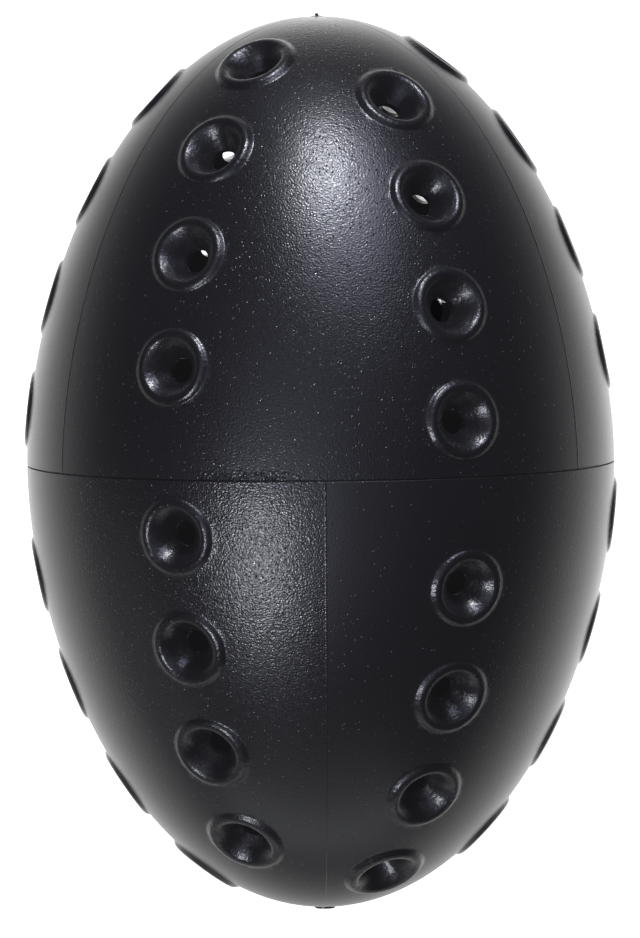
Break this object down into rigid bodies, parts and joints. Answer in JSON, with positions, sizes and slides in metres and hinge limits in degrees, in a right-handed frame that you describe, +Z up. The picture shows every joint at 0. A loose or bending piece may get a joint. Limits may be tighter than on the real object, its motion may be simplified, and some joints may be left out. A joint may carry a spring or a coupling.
{
  "type": "egg shaker",
  "caption": "Black moulded egg-shaped hand shaker: two half shells joined at the waist, drilled and countersunk studs all round, loose steel pellets rattling inside.",
  "frame": {"origin": "on the table straight under the middle of the egg, which lies on its side", "axes": "+Y along the egg's long axis towards the upper half, +Z up out of the side seen in the picture"},
  "size_m": [0.0454, 0.0687, 0.0448],
  "materials": {
    "black_plastic": "fine spark-textured satin skin, smooth glossy studs and funnels",
    "steel": "ground bright"
  },
  "bodies": {
    "shell": {"upper_shell": "black_plastic", "lower_shell": "black_plastic"},
    "pellet_01": {"pellet_01": "steel"},
    "pellet_02": {"pellet_02": "steel"},
    "pellet_03": {"pellet_03": "steel"},
    "pellet_04": {"pellet_04": "steel"},
    "pellet_05": {"pellet_05": "steel"},
    "pellet_06": {"pellet_06": "steel"},
    "pellet_07": {"pellet_07": "steel"},
    "pellet_08": {"pellet_08": "steel"},
    "pellet_09": {"pellet_09": "steel"},
    "pellet_10": {"pellet_10": "steel"},
    "pellet_11": {"pellet_11": "steel"},
    "pellet_12": {"pellet_12": "steel"},
    "pellet_13": {"pellet_13": "steel"},
    "pellet_14": {"pellet_14": "steel"},
    "pellet_15": {"pellet_15": "steel"},
    "pellet_16": {"pellet_16": "steel"},
    "pellet_17": {"pellet_17": "steel"},
    "pellet_18": {"pellet_18": "steel"},
    "pellet_19": {"pellet_19": "steel"},
    "pellet_20": {"pellet_20": "steel"},
    "pellet_21": {"pellet_21": "steel"},
    "pellet_22": {"pellet_22": "steel"},
    "pellet_23": {"pellet_23": "steel"},
    "pellet_24": {"pellet_24": "steel"},
    "pellet_25": {"pellet_25": "steel"},
    "pellet_26": {"pellet_26": "steel"},
    "pellet_27": {"pellet_27": "steel"},
    "pellet_28": {"pellet_28": "steel"},
    "pellet_29": {"pellet_29": "steel"},
    "pellet_30": {"pellet_30": "steel"},
    "pellet_31": {"pellet_31": "steel"},
    "pellet_32": {"pellet_32": "steel"},
    "pellet_33": {"pellet_33": "steel"},
    "pellet_34": {"pellet_34": "steel"}
  },
  "joints": [
    {"name": "pellet_01_flight", "type": "slide", "parent": "shell", "child": "pellet_01", "axis": [0, 0, 1], "range_m": [0, 0.02975]},
    {"name": "pellet_02_flight", "type": "slide", "parent": "shell", "child": "pellet_02", "axis": [0, 0, 1], "range_m": [0, 0.03189]},
    {"name": "pellet_03_flight", "type": "slide", "parent": "shell", "child": "pellet_03", "axis": [0, 0, 1], "range_m": [0, 0.03306]},
    {"name": "pellet_04_flight", "type": "slide", "parent": "shell", "child": "pellet_04", "axis": [0, 0, 1], "range_m": [0, 0.03306]},
    {"name": "pellet_05_flight", "type": "slide", "parent": "shell", "child": "pellet_05", "axis": [0, 0, 1], "range_m": [0, 0.03189]},
    {"name": "pellet_06_flight", "type": "slide", "parent": "shell", "child": "pellet_06", "axis": [0, 0, 1], "range_m": [0, 0.02975]},
    {"name": "pellet_07_flight", "type": "slide", "parent": "shell", "child": "pellet_07", "axis": [0, 0, 1], "range_m": [0, 0.03115]},
    {"name": "pellet_08_flight", "type": "slide", "parent": "shell", "child": "pellet_08", "axis": [0, 0, 1], "range_m": [0, 0.03359]},
    {"name": "pellet_09_flight", "type": "slide", "parent": "shell", "child": "pellet_09", "axis": [0, 0, 1], "range_m": [0, 0.03511]},
    {"name": "pellet_10_flight", "type": "slide", "parent": "shell", "child": "pellet_10", "axis": [0, 0, 1], "range_m": [0, 0.03571]},
    {"name": "pellet_11_flight", "type": "slide", "parent": "shell", "child": "pellet_11", "axis": [0, 0, 1], "range_m": [0, 0.03511]},
    {"name": "pellet_12_flight", "type": "slide", "parent": "shell", "child": "pellet_12", "axis": [0, 0, 1], "range_m": [0, 0.03359]},
    {"name": "pellet_13_flight", "type": "slide", "parent": "shell", "child": "pellet_13", "axis": [0, 0, 1], "range_m": [0, 0.03115]},
    {"name": "pellet_14_flight", "type": "slide", "parent": "shell", "child": "pellet_14", "axis": [0, 0, 1], "range_m": [0, 0.03049]},
    {"name": "pellet_15_flight", "type": "slide", "parent": "shell", "child": "pellet_15", "axis": [0, 0, 1], "range_m": [0, 0.03335]},
    {"name": "pellet_16_flight", "type": "slide", "parent": "shell", "child": "pellet_16", "axis": [0, 0, 1], "range_m": [0, 0.03527]},
    {"name": "pellet_17_flight", "type": "slide", "parent": "shell", "child": "pellet_17", "axis": [0, 0, 1], "range_m": [0, 0.03633]},
    {"name": "pellet_18_flight", "type": "slide", "parent": "shell", "child": "pellet_18", "axis": [0, 0, 1], "range_m": [0, 0.03633]},
    {"name": "pellet_19_flight", "type": "slide", "parent": "shell", "child": "pellet_19", "axis": [0, 0, 1], "range_m": [0, 0.03527]},
    {"name": "pellet_20_flight", "type": "slide", "parent": "shell", "child": "pellet_20", "axis": [0, 0, 1], "range_m": [0, 0.03335]},
    {"name": "pellet_21_flight", "type": "slide", "parent": "shell", "child": "pellet_21", "axis": [0, 0, 1], "range_m": [0, 0.03049]},
    {"name": "pellet_22_flight", "type": "slide", "parent": "shell", "child": "pellet_22", "axis": [0, 0, 1], "range_m": [0, 0.03115]},
    {"name": "pellet_23_flight", "type": "slide", "parent": "shell", "child": "pellet_23", "axis": [0, 0, 1], "range_m": [0, 0.03359]},
    {"name": "pellet_24_flight", "type": "slide", "parent": "shell", "child": "pellet_24", "axis": [0, 0, 1], "range_m": [0, 0.03511]},
    {"name": "pellet_25_flight", "type": "slide", "parent": "shell", "child": "pellet_25", "axis": [0, 0, 1], "range_m": [0, 0.03571]},
    {"name": "pellet_26_flight", "type": "slide", "parent": "shell", "child": "pellet_26", "axis": [0, 0, 1], "range_m": [0, 0.03511]},
    {"name": "pellet_27_flight", "type": "slide", "parent": "shell", "child": "pellet_27", "axis": [0, 0, 1], "range_m": [0, 0.03359]},
    {"name": "pellet_28_flight", "type": "slide", "parent": "shell", "child": "pellet_28", "axis": [0, 0, 1], "range_m": [0, 0.03115]},
    {"name": "pellet_29_flight", "type": "slide", "parent": "shell", "child": "pellet_29", "axis": [0, 0, 1], "range_m": [0, 0.02975]},
    {"name": "pellet_30_flight", "type": "slide", "parent": "shell", "child": "pellet_30", "axis": [0, 0, 1], "range_m": [0, 0.03189]},
    {"name": "pellet_31_flight", "type": "slide", "parent": "shell", "child": "pellet_31", "axis": [0, 0, 1], "range_m": [0, 0.03306]},
    {"name": "pellet_32_flight", "type": "slide", "parent": "shell", "child": "pellet_32", "axis": [0, 0, 1], "range_m": [0, 0.03306]},
    {"name": "pellet_33_flight", "type": "slide", "parent": "shell", "child": "pellet_33", "axis": [0, 0, 1], "range_m": [0, 0.03189]},
    {"name": "pellet_34_flight", "type": "slide", "parent": "shell", "child": "pellet_34", "axis": [0, 0, 1], "range_m": [0, 0.02975]}
  ]
}
